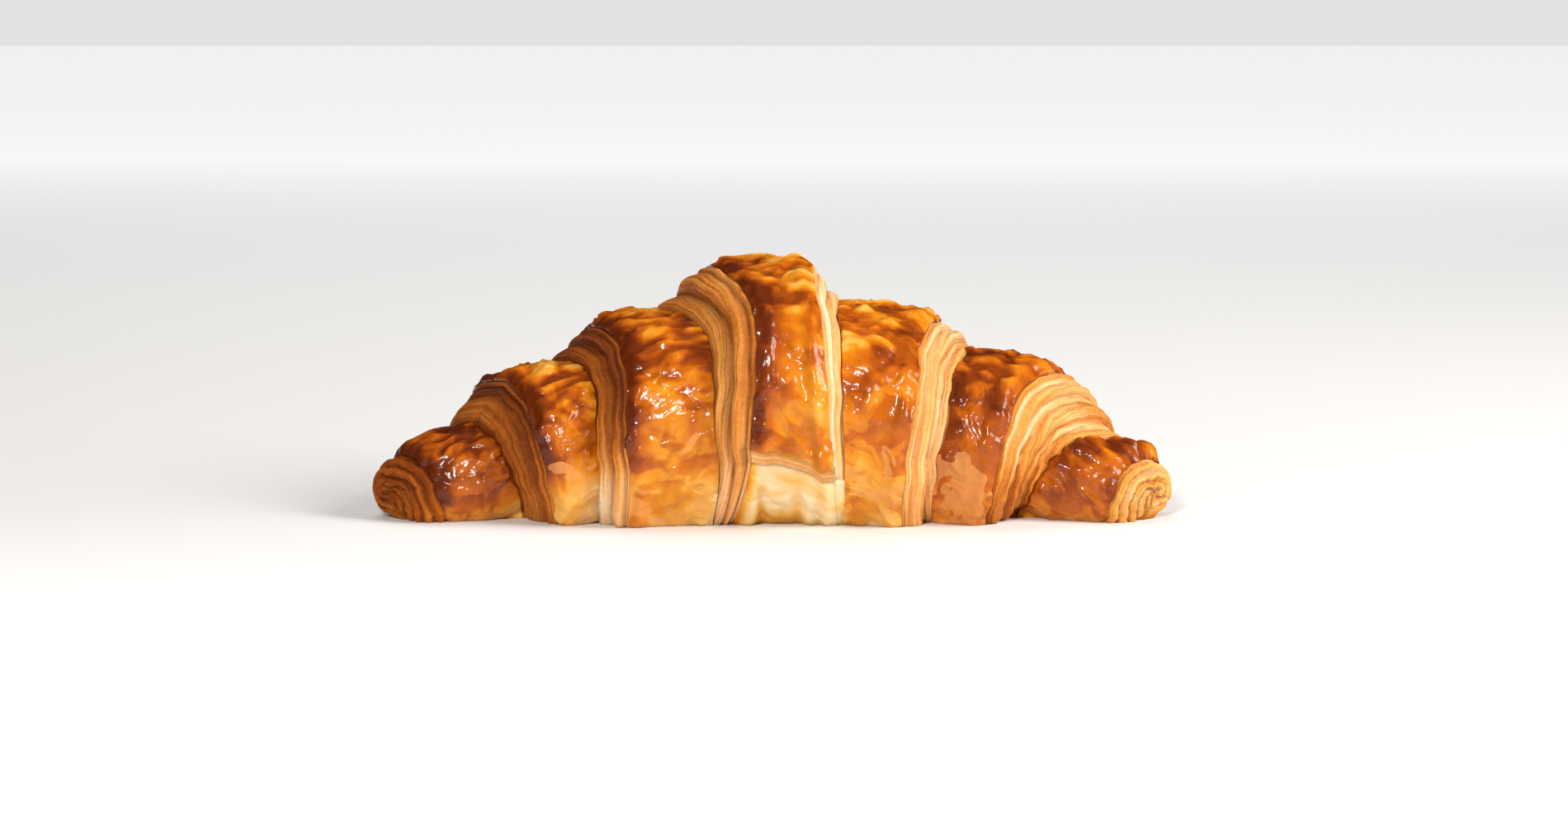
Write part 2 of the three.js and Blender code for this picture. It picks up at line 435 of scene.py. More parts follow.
@dataclass
class HalfSheet:
    """One half of the croissant's surface as a grid, with rows around the roll and columns along it.

    Attributes:
        sizes: The roll's sizes.
        half: The half of the roll.
        row_counts: Rows between the angles where their spacing changes.
        skin_columns: Columns on each wrap's skin, from the middle outwards.
        step_columns: Columns on each step.
        end_columns: Columns on the horn's end.
        seed: Starts the random numbers.
        tallest_ply: The most that a layer in a step stands out.
        sunk: How far the gaps between layers are sunk.
        spiral_pitch: How far apart the turns of the spiral on the horn's end lie.
        face_top: Share of the flap's end face where its lip starts.
        marks: For each mark, its value for each row and column.
    """

    sizes: RollSizes
    half: HalfRoll
    row_counts: tuple[int, ...] = (6, 28, 9, 114, 45, 6)
    skin_columns: tuple[int, ...] = (22, 34, 28, 18)
    step_columns: tuple[int, ...] = (30, 30, 36)
    end_columns: int = 34
    seed: int = 11
    tallest_ply: float = 2.2
    sunk: float = 0.7
    spiral_pitch: float = 2.3
    face_top: float = 0.98
    marks: dict[str, Array] = field(default_factory=dict)

    @cached_property
    def angle(self) -> Array:
        """The rows' angles, close together on the flap's end face and sparse on the underside."""
        s = self.sizes
        stops = (s.under, s.front_foot, s.face_foot, s.flap_angle, s.back_top, s.back_foot, s.under + 360.0)
        spans = zip(stops, stops[1:], self.row_counts)
        return np.concatenate([np.linspace(start, end, count, endpoint=False) for start, end, count in spans])

    def turns(self, angle: Array | float) -> Array | float:
        """Turns from the flap's free end to an angle around the roll."""
        return (angle - self.sizes.flap_angle) / 360.0

    @cached_property
    def follow(self) -> Array:
        """The turn that each row's columns follow: its own, except underneath, where they come back."""
        s, angle = self.sizes, self.angle
        early, late = s.under + s.turn_back, s.under + 360.0 - s.turn_back
        around = np.where(angle < early, angle + 360.0, angle)
        back = blend(self.turns(late), self.turns(early), ease(around, late, late + 2.0 * s.turn_back))
        return np.where(around < late, self.turns(around), back)

    @cached_property
    def settled(self) -> Array:
        """How far the dough has settled flat in each row: 0 on the sides and 1 underneath."""
        around = np.where(self.angle > 90.0, 180.0 - self.angle, self.angle)[:, None]
        return 1.0 - ease(around, self.sizes.flat_below, self.sizes.free_above)

    def edge(self, half: HalfRoll, turn: Array) -> Array:
        """Distance from the middle to a half's ragged edge at each turn."""
        draw = np.random.default_rng(self.seed + 10 * half.hand.value)
        waves_per_turn = (3.3, 6.1, 9.7, 14.3, 21.7)
        ragged = sum(0.3 * np.sin(math.tau * pace * turn + draw.uniform(0, 6)) * (6.0 / pace) ** 0.5
                     for pace in waves_per_turn)
        wander = self.sizes.raggedness * ragged * ease(turn, 0.0, 0.1)
        return self.sizes.half_length * half.edge(turn) + wander

    @cached_property
    def columns(self) -> Columns:
        """The half's columns."""
        half, turn = self.half, self.follow
        length = self.sizes.half_length
        stations, kinds = [], []

        def lay(start: Array, stop: Array, places: Array, wrap: int, cut: float, end: float) -> None:
            """Adds columns at these shares of the way from start to stop."""
            for share in places:
                stations.append(blend(start, stop, share))
                kinds.append((wrap, cut, share, end))

        start = np.zeros_like(turn)
        for wrap, count in enumerate(self.skin_columns):
            stop = np.maximum(self.edge(half, wrap + turn), start + 1.0)
            even = np.arange(1, count + 1) / count
            places = 0.5 - 0.5 * np.cos(np.pi * even) if wrap else np.sin(0.5 * np.pi * even)
            lay(start, stop, places, wrap, 0.0, 0.0)
            if wrap < len(self.step_columns):
                start, stop = stop, stop + half.step(wrap + turn)
                # The outermost columns lie close to the step's sides, which keeps both sides crisp.
                places = np.concatenate([[0.012], np.linspace(0.03, 0.985, self.step_columns[wrap]), [1.0]])
                lay(start, stop, places, wrap, 1.0, 0.0)
            start = stop
        around = np.sin(0.5 * np.pi * np.arange(1, self.end_columns) / self.end_columns)
        lay(start, np.full_like(turn, length), around, len(self.skin_columns), 1.0, 1.0)
        wraps, cuts, shares, ends = (np.array(kind) for kind in zip(*kinds))
        return Columns(np.stack(stations, axis=1), wraps, cuts, shares, ends)

    def flap_presence(self, angle: Array) -> Array:
        """How much of the outermost wrap's thickness is there: all above the flap's end, some below it."""
        s = self.sizes
        face = np.clip((angle - s.face_foot) / s.flap_face, 0.0, 1.0)
        backing = blend(*s.backing, ease(angle, s.front_foot - 4.0, s.face_foot))
        lip_starts = 0.93
        return blend(backing, 1.0, np.where(face > lip_starts, 1.0, 0.9 * face ** 0.8))

    def radius(self, station: Array) -> Array:
        """The roll's radius as a share of the crown's.

        Args:
            station: Distance along the roll, for each row and column.

        Returns:
            The radius for each row and column.
        """
        half = self.half
        turn = self.turns(self.angle)[:, None]
        follow = self.follow[:, None]
        radius = half.radius(1.0 + turn) + np.zeros_like(station)
        for wrap in range(1, len(self.step_columns)):
            edge = self.edge(half, wrap + follow)
            passed = ease(station, edge, edge + half.step(wrap + follow))
            radius = radius + passed * (half.radius(wrap + 1 + turn) - half.radius(wrap + turn))
        edge = self.edge(half, follow)
        passed = ease(station, edge, edge + half.step(follow))
        outer = half.radius(np.maximum(turn, 0.0)) - half.radius(1.0 + turn)
        radius = radius + self.flap_presence(self.angle)[:, None] * (1.0 - passed) * outer
        rest = self.sizes.rest_radius(station / self.sizes.half_length)
        return blend(radius, rest, self.settled)

    def swell(self) -> Array:
        """The swelling of each wrap's skin between the foot of one step and the edge of the next."""
        s, columns, turn = self.sizes, self.columns, self.turns(self.angle)
        bow = np.sin(np.pi * columns.share) * (1.0 - columns.cut) * (columns.wrap > 0)
        inner = columns.wrap[None, :] - 1.0 + turn[:, None]
        return s.puff * bow[None, :] * ease(inner, *s.puff_grows) * (1.0 - ease(inner, *s.puff_fades))

    @cached_property
    def points(self) -> Array:
        """The grid's points, before the marks' relief."""
        s, half, columns, angle, follow = self.sizes, self.half, self.columns, self.angle, self.follow
        reach = columns.station
        station = half.hand.value * reach
        share = reach / s.half_length
        start = self.edge(half, len(self.step_columns) + follow)[:, None]
        along = np.clip((reach - start) / (s.half_length - start), 0.0, 1.0)
        rounding = np.where(columns.end > 0, np.sqrt(1.0 - along ** 2.0), 1.0)
        last = ((columns.wrap == len(self.step_columns)) & (columns.end == 0))[None, :]
        taper = np.where(last, blend(1.0, s.horn_taper, columns.share ** s.taper_power),
                         np.where(columns.end > 0, s.horn_taper, 1.0))
        held = np.where(columns.end > 0, start, reach)
        radius = self.radius(held) * rounding * taper
        swell = self.swell()

        near = np.where(angle < s.flap_angle, ease(angle, s.under, s.flap_angle),
                        1.0 - ease(angle, s.flap_angle, s.slant_top))
        slant = s.flap_slant * near[:, None] * np.clip(station, -s.slanted_band, s.slanted_band)
        turn = np.radians(angle[:, None] - slant)
        cosine, sine = np.cos(turn), np.sin(turn)
        fullness = (abs(cosine) ** s.side_fullness + abs(sine) ** s.side_fullness) ** (-1 / s.side_fullness)
        outward = -cosine * fullness * (0.5 * s.depth * radius ** s.depth_fall + swell)
        fall = np.minimum(1.0, share / s.horn_middle_at) ** s.middle_fall
        middle = blend(s.middle_height, s.horn_middle, fall)
        upward = sine * fullness * (np.where(sine > 0, s.crown_rise, s.rest_drop) * radius + swell)

        power = 2 * s.horn_bend - 2
        line_x = station * (1.0 - s.horn_shortening * share ** power)
        line_y = -s.horn_reach * share ** s.horn_bend
        along_x = 1.0 - s.horn_shortening * (power + 1) * share ** power
        along_y = -half.hand.value * s.horn_reach * s.horn_bend * share ** (s.horn_bend - 1) / s.half_length
        norm = np.hypot(along_x, along_y)
        height = middle + upward
        height = 0.5 * (height + np.hypot(height, s.rest_softness))
        out_x, out_y = -outward * along_y / norm, outward * along_x / norm
        return np.stack([line_x + out_x, line_y + out_y, height], axis=2)

    def cut_marks(self) -> None:
        """Works out the thick layers that show in the steps, and the painted shade in the grooves between
        them.
        """
        half, columns, turn = self.half, self.columns, self.follow
        draw = np.random.default_rng(self.seed + (half.hand is Hand.RIGHT))
        relief, crevice, layer, across = (np.zeros(columns.station.shape) for _ in range(4))
        for wrap, plies in enumerate(half.plies):
            here = np.flatnonzero((columns.wrap == wrap) & (columns.cut > 0) & (columns.end == 0))
            share = columns.share[here][None, :]
            width = half.step(wrap + turn)[:, None]
            bounds = self.ply_bounds(plies, turn, draw)
            for ply, (low, high) in enumerate(zip(bounds, bounds[1:])):
                local = (share - low) / (high - low)
                inside = (local >= 0.0) & (local <= 1.0)
                back = rounded(local)
                height = np.minimum(self.tallest_ply, draw.uniform(0.58, 0.72) * (high - low) * width)
                relief[:, here] += inside * (height * back - self.sunk)
                # Painted shade: the grooves between the layers are marked for a darker colour.
                crevice[:, here] += inside * (1.0 - back) ** 0.8
                shade = np.sin(math.tau * draw.uniform(1.2, 3.0) * turn + draw.uniform(0, 6))[:, None]
                tone = draw.uniform(-0.2, 0.2) + half.contrast * (-1) ** ply + 0.25 * shade
                layer[:, here] += inside * tone
            across[:, here] = share * width
        self.marks.update(relief=relief, crevice=crevice, layer=layer, across=across)

    @staticmethod
    def ply_bounds(plies: tuple[float, ...], turn: Array, draw: np.random.Generator) -> list[Array]:
        """Places the wavering bounds of the thick layers in a step.

        Args:
            plies: Each layer's share of the step's width.
            turn: The turn that each row's columns follow.
            draw: The random numbers.

        Returns:
            For each bound, its share of the way across the step in each row.
        """
        wavering, tearing = 0.12 / len(plies), 0.02 / len(plies)
        bounds = [np.full((len(turn), 1), place) for place in np.cumsum((0.0, *plies))]
        for bound in bounds[1:-1]:
            wave = sum(draw.uniform(0.25, 0.6) * np.sin(math.tau * draw.uniform(0.5, 2.6) * turn
                                                        + draw.uniform(0, 6)) for _ in range(3))
            torn = sum(np.sin(math.tau * pace * turn + draw.uniform(0, 6)) for pace in (4.7, 8.9, 15.1))
            bound += (wavering * wave + tearing * torn)[:, None]
        return bounds

    def end_marks(self) -> None:
        """Adds the rolled-up layers that show as a spiral on the horn's end, with painted shade in the
        spiral's grooves.
        """
        ply_height, fade_from = 1.5, 0.86
        here = np.flatnonzero(self.columns.end > 0)
        inner = self.points[:, here[0] - 1:here[-1] + 1]
        run = np.cumsum(np.linalg.norm(np.diff(inner, axis=1), axis=2), axis=1)
        spiral = run / self.spiral_pitch - self.turns(self.angle)[:, None]
        back = rounded(spiral % 1.0)
        fade = 1.0 - ease(np.arange(len(here)) / len(here), fade_from, 1.0)[None, :]
        self.marks["relief"][:, here] = (ply_height * back - self.sunk) * fade
        # Painted shade in the spiral's grooves.
        self.marks["crevice"][:, here] = (1.0 - back) ** 0.8 * blend(1.0, fade, 0.4)
        self.marks["across"][:, here] = run
        self.marks["layer"][:, here] = 0.35 * np.sin(math.tau * spiral / 1.7)

    @cached_property
    def zones(self) -> Zones:
        """The parts of the flap."""
        s, columns, rows = self.sizes, self.columns, self.angle[:, None]
        outer = (columns.wrap == 0)[None, :]
        skin = (columns.cut == 0)[None, :] & np.ones_like(rows, bool)
        face = (rows - s.face_foot) / s.flap_face
        return Zones(skin=skin, outer=outer, past=rows - s.flap_angle, face=face,
                     on_face=outer & skin & (face > 0.0) & (face < self.face_top),
                     below=outer & skin & (face <= 0.0),
                     hidden=outer & ~skin & (face <= 0.0) & (self.half.hand is Hand.RIGHT))

    def skin_marks(self) -> None:
        """Adds the lips, the flap, and how far each place is baked, glazed and worn, with painted shade
        beside the lips and in the panel's folds added to the bake.
        """
        half, columns, points, zones, marks = self.half, self.columns, self.points, self.zones, self.marks
        place = half.hand.value * columns.station
        folds = sum(np.sin(math.tau * place / pace + shift) * pace / 6.0
                    for pace, shift in ((6.1, 0.4), (3.7, 2.0)))
        high = points[:, :, 2] / points[:, :, 2].max(axis=0)[None, :]
        underneath = self.settled * (1.0 - ease(points[:, :, 2], 0.8, 3.0))
        self.lip_marks()
        self.flap_marks(folds)
        marks["relief"] *= 1.0 - self.settled

        face_cut, end_cut = 0.75, 0.6
        cut = (columns.cut - (1.0 - end_cut) * columns.end)[None, :] * ~zones.hidden
        marks["cut"] = np.where(zones.on_face, face_cut, cut)
        bake = self.flap_bake_and_shade(folds, self.step_bake(high, self.skin_bake_and_shade(high)))
        marks["bake"] = blend(bake, 0.5, underneath)

        glaze = np.where(zones.skin & ~zones.below & ~zones.on_face, 1.0, 0.0)
        front = np.clip(-points[:, :, 1] / 20.0, 0.0, 1.0)
        worn_by_wrap = np.array((0.3, 0.9, 1.0, 0.2, 0.0))[columns.wrap]
        marks["glaze"] = glaze * (1.0 - underneath)
        marks["worn"] = glaze * (1.0 - ease(high, 0.35, 0.75)) * blend(0.35, 1.0, front) * worn_by_wrap

        size, horn_share = 26.0, 0.36
        size = size * blend(1.0, horn_share, ease(columns.station / self.sizes.half_length, 0.2, 1.0))
        turn = np.radians(self.angle[:, None])
        marks["rolled"] = np.stack([place + 0.0 * turn, -size * np.cos(turn), size * np.sin(turn)], axis=2)

    def lip_marks(self) -> None:
        """Adds the rolled-up lip of each skin, and every place's distance from its edge."""
        columns, width, from_edge = self.columns, 1.5, 2.4
        for wrap, ridge in enumerate(self.half.lip_ridges):
            here = np.flatnonzero((columns.wrap == wrap) & (columns.cut == 0))
            left = columns.station[:, here[-1]:here[-1] + 1] - columns.station[:, here]
            self.marks["relief"][:, here] += ridge * hump(left, width, from_edge)
            self.marks["across"][:, here] = left

    def flap_marks(self, folds: Array) -> None:
        """Adds the flap's raised end, the sheets on its end face, the folds of the panel below it, and
        painted shade along the end face's top and foot.
        """
        zones, marks = self.zones, self.marks
        lip, fold, sheet, sheets, edge = 0.7, 0.55, 0.22, 3.0, 0.35
        on_outer = zones.outer & zones.skin
        folded = ease(-zones.past, self.sizes.flap_face, 26.0) * (1.0 - ease(-zones.past, 34.0, 52.0))
        marks["relief"] += (on_outer & (zones.past >= 0.0)) * lip * hump(zones.past, 3.5)
        marks["relief"] += zones.below * fold * folds * folded
        marks["relief"] *= 1.0 - 0.8 * zones.hidden
        marks["relief"] += zones.on_face * sheet * rounded((zones.face * sheets) % 1.0, 2.3, 0.5)
        marks["crevice"] *= (1.0 - zones.hidden) * self.half.shadow
        # Painted shade: a dark line under the flap's lip, and a painted contact shadow where the end face
        # meets the panel.
        edge_shade = edge * (hump(zones.face, 0.1, 0.88) + hump(zones.face, 0.12))
        marks["crevice"] += (on_outer & (zones.face < self.face_top)) * edge_shade
        marks["layer"] *= 1.0 - zones.hidden
        marks["across"] = np.where(zones.on_face, zones.face * 2.6, marks["across"])

    def skin_bake_and_shade(self, high: Array) -> Array:
        """How far the skins are baked, by their height and wrap, with painted shade added along their lips.
        """
        half, columns, zones = self.half, self.columns, self.zones
        lip_width, inner_lip_width = 4.2, 3.0
        left = np.where(columns.cut > 0, FAR, self.marks["across"])
        # Painted shade: the skins are coloured darker beside their edges, where they curve away from the
        # light.
        lip = half.lip_painted_shade * hump(left, np.where(zones.outer, lip_width, inner_lip_width))
        if half.hand is Hand.RIGHT:
            over = self.edge(LEFT, self.follow)[:, None] + columns.station
            lip = lip + zones.outer * LEFT.lip_painted_shade * hump(over, lip_width)
        browned, least = (np.array(values + (0.0,))[columns.wrap]
                          for values in (half.browned, half.least_browned))
        return np.maximum(self.sizes.bake(high) + browned + lip * ease(high, 0.25, 0.5), least)

    def step_bake(self, high: Array, bake: Array) -> Array:
        """Adds how far the steps are baked, and the paler skin at their feet, and weakens the painted shade
        in their low gaps.
        """
        half, columns, zones = self.half, self.columns, self.zones
        on_left = half.hand is Hand.LEFT
        low, top = (np.array(values)[columns.wrap] for values in (half.cut_low, half.cut_top))
        bake = np.where(self.marks["cut"] > 0, blend(low, top, ease(high, 0.1, 0.75)), bake)
        in_step = columns.cut > 0
        beside = zones.outer * in_step * on_left * (1.0 - ease(zones.past, -24.0, 12.0))
        low_down = in_step * (1.0 - ease(high, 0.1, 0.5))
        # This weakens the painted shade in the steps' gaps beside the flap and low down.
        self.marks["crevice"] *= 1.0 - np.maximum(0.4 * beside, 0.5 * low_down)
        part = 2 * columns.wrap + in_step
        feet = columns.station[:, np.maximum(np.searchsorted(part, part) - 1, 0)]
        foot = columns.station - np.where(columns.wrap > 0, feet, -FAR)
        pale = 0.24 * hump(foot, 6.0) * (1.0 - ease(high, 0.2, 0.5)) * on_left
        return bake - 0.05 * beside - pale * zones.skin

    def flap_bake_and_shade(self, folds: Array, bake: Array) -> Array:
        """Adds how far the panel below the flap, its end face and its lip are baked, and painted shade in the
        panel's fold valleys.
        """
        zones = self.zones
        panel, hidden, face, lip, torn = 0.02, 0.04, 0.26, 0.12, 0.36
        torn = (self.half.hand is Hand.LEFT) * torn * hump(self.marks["across"], 1.3)
        golden = 0.3 * ease(-zones.past, 26.0, 46.0)
        # Painted shade: the valleys of the panel's folds are coloured darker.
        creased = 0.05 * np.clip(-folds, 0.0, 2.0) * ease(-zones.past, self.sizes.flap_face, 20.0)
        bake = np.where(zones.below, panel + torn + golden + creased, bake)
        bake = bake + (zones.outer & zones.skin & (zones.past > 0.0)) * lip * hump(zones.past, 4.0)
        bake = np.where(zones.on_face, face, bake)
        return np.where(zones.hidden, hidden + golden, bake)


@dataclass
class RolledSheet:
    """The croissant's closed surface.

    Attributes:
        sizes: The roll's sizes.
    """

    sizes: RollSizes

    def grid(self) -> tuple[Array, dict[str, Array]]:
        """Works out both halves and joins them.

        Returns:
            The points for each row and column from the left end to the right end, and the marks for each.
        """
        left, right = (HalfSheet(self.sizes, half) for half in (LEFT, RIGHT))
        for side in (left, right):
            side.cut_marks()
            side.end_marks()
            side.skin_marks()

        def join(one: Array, other: Array) -> Array:
            """Joins the left half's values and the right half's where they meet in the middle."""
            return np.concatenate([one[:, ::-1], 0.5 * (one[:, :1] + other[:, :1]), other], axis=1)

        marks = {name: join(left.marks[name], right.marks[name]) for name in left.marks}
        return join(left.points, right.points), marks

    def mesh(self, name: str) -> Mesh:
        """Builds the closed surface with the cut layers standing out of it.

        Args:
            name: The mesh's name.

        Returns:
            The mesh, in metres, with the marks as its attributes.
        """
        points, marks = self.grid()
        around = np.roll(points, -1, axis=0) - np.roll(points, 1, axis=0)
        normal = np.cross(around, np.gradient(points, axis=1))
        normal /= np.maximum(np.linalg.norm(normal, axis=2, keepdims=True), 1e-9)
        core = points.mean(axis=0, keepdims=True)
        if ((points - core) * normal).sum() < 0:
            normal = -normal
        points = points + normal * marks["relief"][:, :, None]

        def with_ends(values: Array) -> Array:
            """Values as one list, with those of the two end points last."""
            return np.concatenate([values.reshape(-1, *values.shape[2:]), values[:, [0, -1]].mean(axis=0)])

        rows, columns = points.shape[:2]
        index = np.arange(rows * columns).reshape(rows, columns)
        below = np.roll(index, -1, axis=0)
        quads = np.stack([index[:, :-1], index[:, 1:], below[:, 1:], below[:, :-1]], axis=2).reshape(-1, 4)
        first = np.stack([below[:, 0], np.full(rows, rows * columns), index[:, 0]], axis=1)
        last = np.stack([index[:, -1], np.full(rows, rows * columns + 1), below[:, -1]], axis=1)
        mesh = bpy.data.meshes.new(name)
        faces = [face for part in (quads, first, last) for face in part.tolist()]
        mesh.from_pydata((with_ends(points) * MM).tolist(), [], faces)
        mesh.polygons.foreach_set("use_smooth", np.ones(len(mesh.polygons), bool))
        kinds = [(mark, "FLOAT", "value") for mark in MARKS] + [("rolled", "FLOAT_VECTOR", "vector")]
        for mark, kind, key in kinds:
            values = with_ends(marks[mark]).reshape(-1).astype(np.float32)
            mesh.attributes.new(mark, kind, "POINT").data.foreach_set(key, values)
        mesh.update()
        return mesh


@dataclass(frozen=True)
class BakedRelief:
    """What baking does to the surface: lumps, wrinkles and blisters on the skin, and fine layers in the cuts.

    Heights and depths are in millimetres, and so are the sizes of the patterns.
    """

    lump_height: float = 1.3
    lump_size: float = 17.0
    wrinkle_depth: float = 0.85
    wrinkle_spacing: float = 6.5
    blister_height: float = 0.4
    blister_size: float = 6.0
    layer_depth: float = 0.42
    layer_spacing: float = 1.1
    seed: float = 3.0

    @property
    def inputs(self) -> dict[str, float]:
        """The tree's numbers, by the names of its inputs."""
        return {name.replace("_", " ").title(): value for name, value in asdict(self).items()}

    def tree(self) -> NodeTree:
        """Builds the Geometry Nodes tree, with its sizes as named inputs.

        Returns:
            The tree.
        """
        tree = bpy.data.node_groups.new("baked_relief", "GeometryNodeTree")
        sockets = [("Geometry", "INPUT", "Geometry"), *((name, "INPUT", "Float") for name in self.inputs),
                   ("Material", "INPUT", "Material"), ("Geometry", "OUTPUT", "Geometry")]
        for name, in_out, kind in sockets:
            tree.interface.new_socket(name, in_out=in_out, socket_type="NodeSocket" + kind)
        given = put(tree, "NodeGroupInput").outputs
        rolled, glaze, cut, across = (
            put(tree, "GeometryNodeInputNamedAttribute", {"Name": name}, data_type=kind) for name, kind in
            (("rolled", "FLOAT_VECTOR"), ("glaze", "FLOAT"), ("cut", "FLOAT"), ("across", "FLOAT")))
        normal = put(tree, "GeometryNodeInputNormal")

        place = put(tree, "GeometryNodeInputPosition")
        place = put(tree, VECTOR, {0: place, 3: 1.0 / MM}, operation="SCALE")
        along = put(tree, VECTOR, {0: rolled, 1: (0.5, 1.0, 1.0)}, operation="MULTIPLY")
        striped = put(tree, "ShaderNodeCombineXYZ", {0: across})
        striped = put(tree, VECTOR, {0: rolled, 1: (0.0, 0.022, 0.022), 2: striped}, operation="MULTIPLY_ADD")
        noise, centred = {}, {}
        for name, size, coordinates, detail, distortion in (
                ("lumps", "Lump Size", place, 1.0, 0.0), ("wrinkles", "Wrinkle Spacing", along, 1.5, 0.9),
                ("blisters", "Blister Size", rolled, 2.0, 0.4),
                ("layers", "Layer Spacing", striped, 1.0, 0.0)):
            scale = put(tree, MATH, {0: 1.0, 1: given[size]}, operation="DIVIDE")
            noise[name] = put(tree, NOISE, {
                "Vector": coordinates, "W": given["Seed"], "Scale": scale, "Detail": detail,
                "Distortion": distortion}, noise_dimensions="4D")
            centred[name] = put(tree, MATH, {0: noise[name], 1: 0.5}, operation="SUBTRACT")

        creased = put(tree, MATH, {0: centred["wrinkles"]}, operation="ABSOLUTE")
        creased = put(tree, RANGE, {"Value": creased, "From Max": 0.14}, interpolation_type="SMOOTHSTEP")
        facing_up = put(tree, "ShaderNodeSeparateXYZ", {0: normal}).outputs["Z"]
        upward = put(tree, RANGE, {"Value": facing_up, "From Min": 0.2, "From Max": 0.9, "To Min": 0.08},
                     interpolation_type="SMOOTHSTEP")
        raised = put(tree, RANGE, {"Value": noise["blisters"], "From Min": 0.5, "From Max": 0.72},
                     interpolation_type="SMOOTHSTEP")
        lifted = put(tree, RANGE, {"Value": noise["blisters"], "From Min": 0.575, "From Max": 0.595})
        blistered = add_up(tree, raised, (lifted, 0.8))
        wrinkled = put(tree, MATH, {0: upward, 1: glaze}, operation="MULTIPLY")
        rise = 0.0
        for shape, height, where in (
                (creased, "Wrinkle Depth", wrinkled), (blistered, "Blister Height", glaze),
                (centred["lumps"], "Lump Height", 1.0), (centred["layers"], "Layer Depth", cut)):
            there = put(tree, MATH, {0: given[height], 1: where}, operation="MULTIPLY")
            rise = add_up(tree, rise, (shape, there))
        rise = put(tree, MATH, {0: rise, 1: MM}, operation="MULTIPLY")

        # Painted light: the wrinkles' valleys on upward faces are stored for the finish, which colours them
        # darker and their ridges lighter.
        valley_shade = put(tree, MATH, {0: 0.62, 1: creased}, operation="SUBTRACT")
        valley_shade = put(tree, MATH, {0: valley_shade, 1: upward}, operation="MULTIPLY")
        shape = put(tree, "GeometryNodeStoreNamedAttribute",
                    {"Geometry": given["Geometry"], "Name": "valley_shade", "Value": valley_shade})
        offset = put(tree, VECTOR, {0: normal, 3: rise}, operation="SCALE")
        shape = put(tree, "GeometryNodeSetPosition", {"Geometry": shape, "Offset": offset})
        shape = put(tree, "GeometryNodeRealizeInstances", {0: shape})
        shape = put(tree, "GeometryNodeSetMaterial", {0: shape, "Material": given["Material"]})
        put(tree, "NodeGroupOutput", {0: shape})
        return tree

    def press(self, piece: Object, material: Material) -> None:
        """Runs the tree on a piece and keeps its result as the piece's plain mesh.

        Args:
            piece: The piece.
            material: The finish that the tree sets.
        """
        run_tree(piece, self.tree(), {**self.inputs, "Material": material})


class Space(Enum):
    """The coordinates that a pattern follows."""

    PLACE = "place"
    ROLLED = "rolled"
    ALONG = "along"
    STRIPED = "striped"


@dataclass(frozen=True)
class Pattern:
    """One noise pattern.

    Attributes:
        space: The coordinates that it follows.
        size: Its size in millimetres.
        detail: How many finer patterns it holds.
        roughness: How strong those are.
        distortion: How far it is warped.
        seed: Picks another pattern in the same coordinates.
    """

    space: Space
    size: float
    detail: float
    roughness: float = 0.5
    distortion: float = 0.0
    seed: float | None = None


PATTERNS = {
    "broad": Pattern(Space.PLACE, 11.0, 3.0, 0.6, 0.5),
    "fine": Pattern(Space.ALONG, 3.2, 3.0, 0.55, 0.6),
    "washes": Pattern(Space.ALONG, 9.0, 3.0, 0.5, 1.2, 8.0),
    "stripes": Pattern(Space.STRIPED, 0.42, 3.0, 0.6),
    "leaves": Pattern(Space.STRIPED, 1.3, 2.0, seed=2.0),
    "specks": Pattern(Space.PLACE, 0.7, 2.0),
    "flaked": Pattern(Space.PLACE, 7.0, 2.5, 0.5, 0.9, 5.0),
    "mottle": Pattern(Space.PLACE, 1.1, 3.0, 0.6),
    "bubbles": Pattern(Space.ROLLED, 1.4, 2.0, 0.5, 0.7),
    "pulled": Pattern(Space.ALONG, 5.0, 1.0, 0.4, 1.2),
}


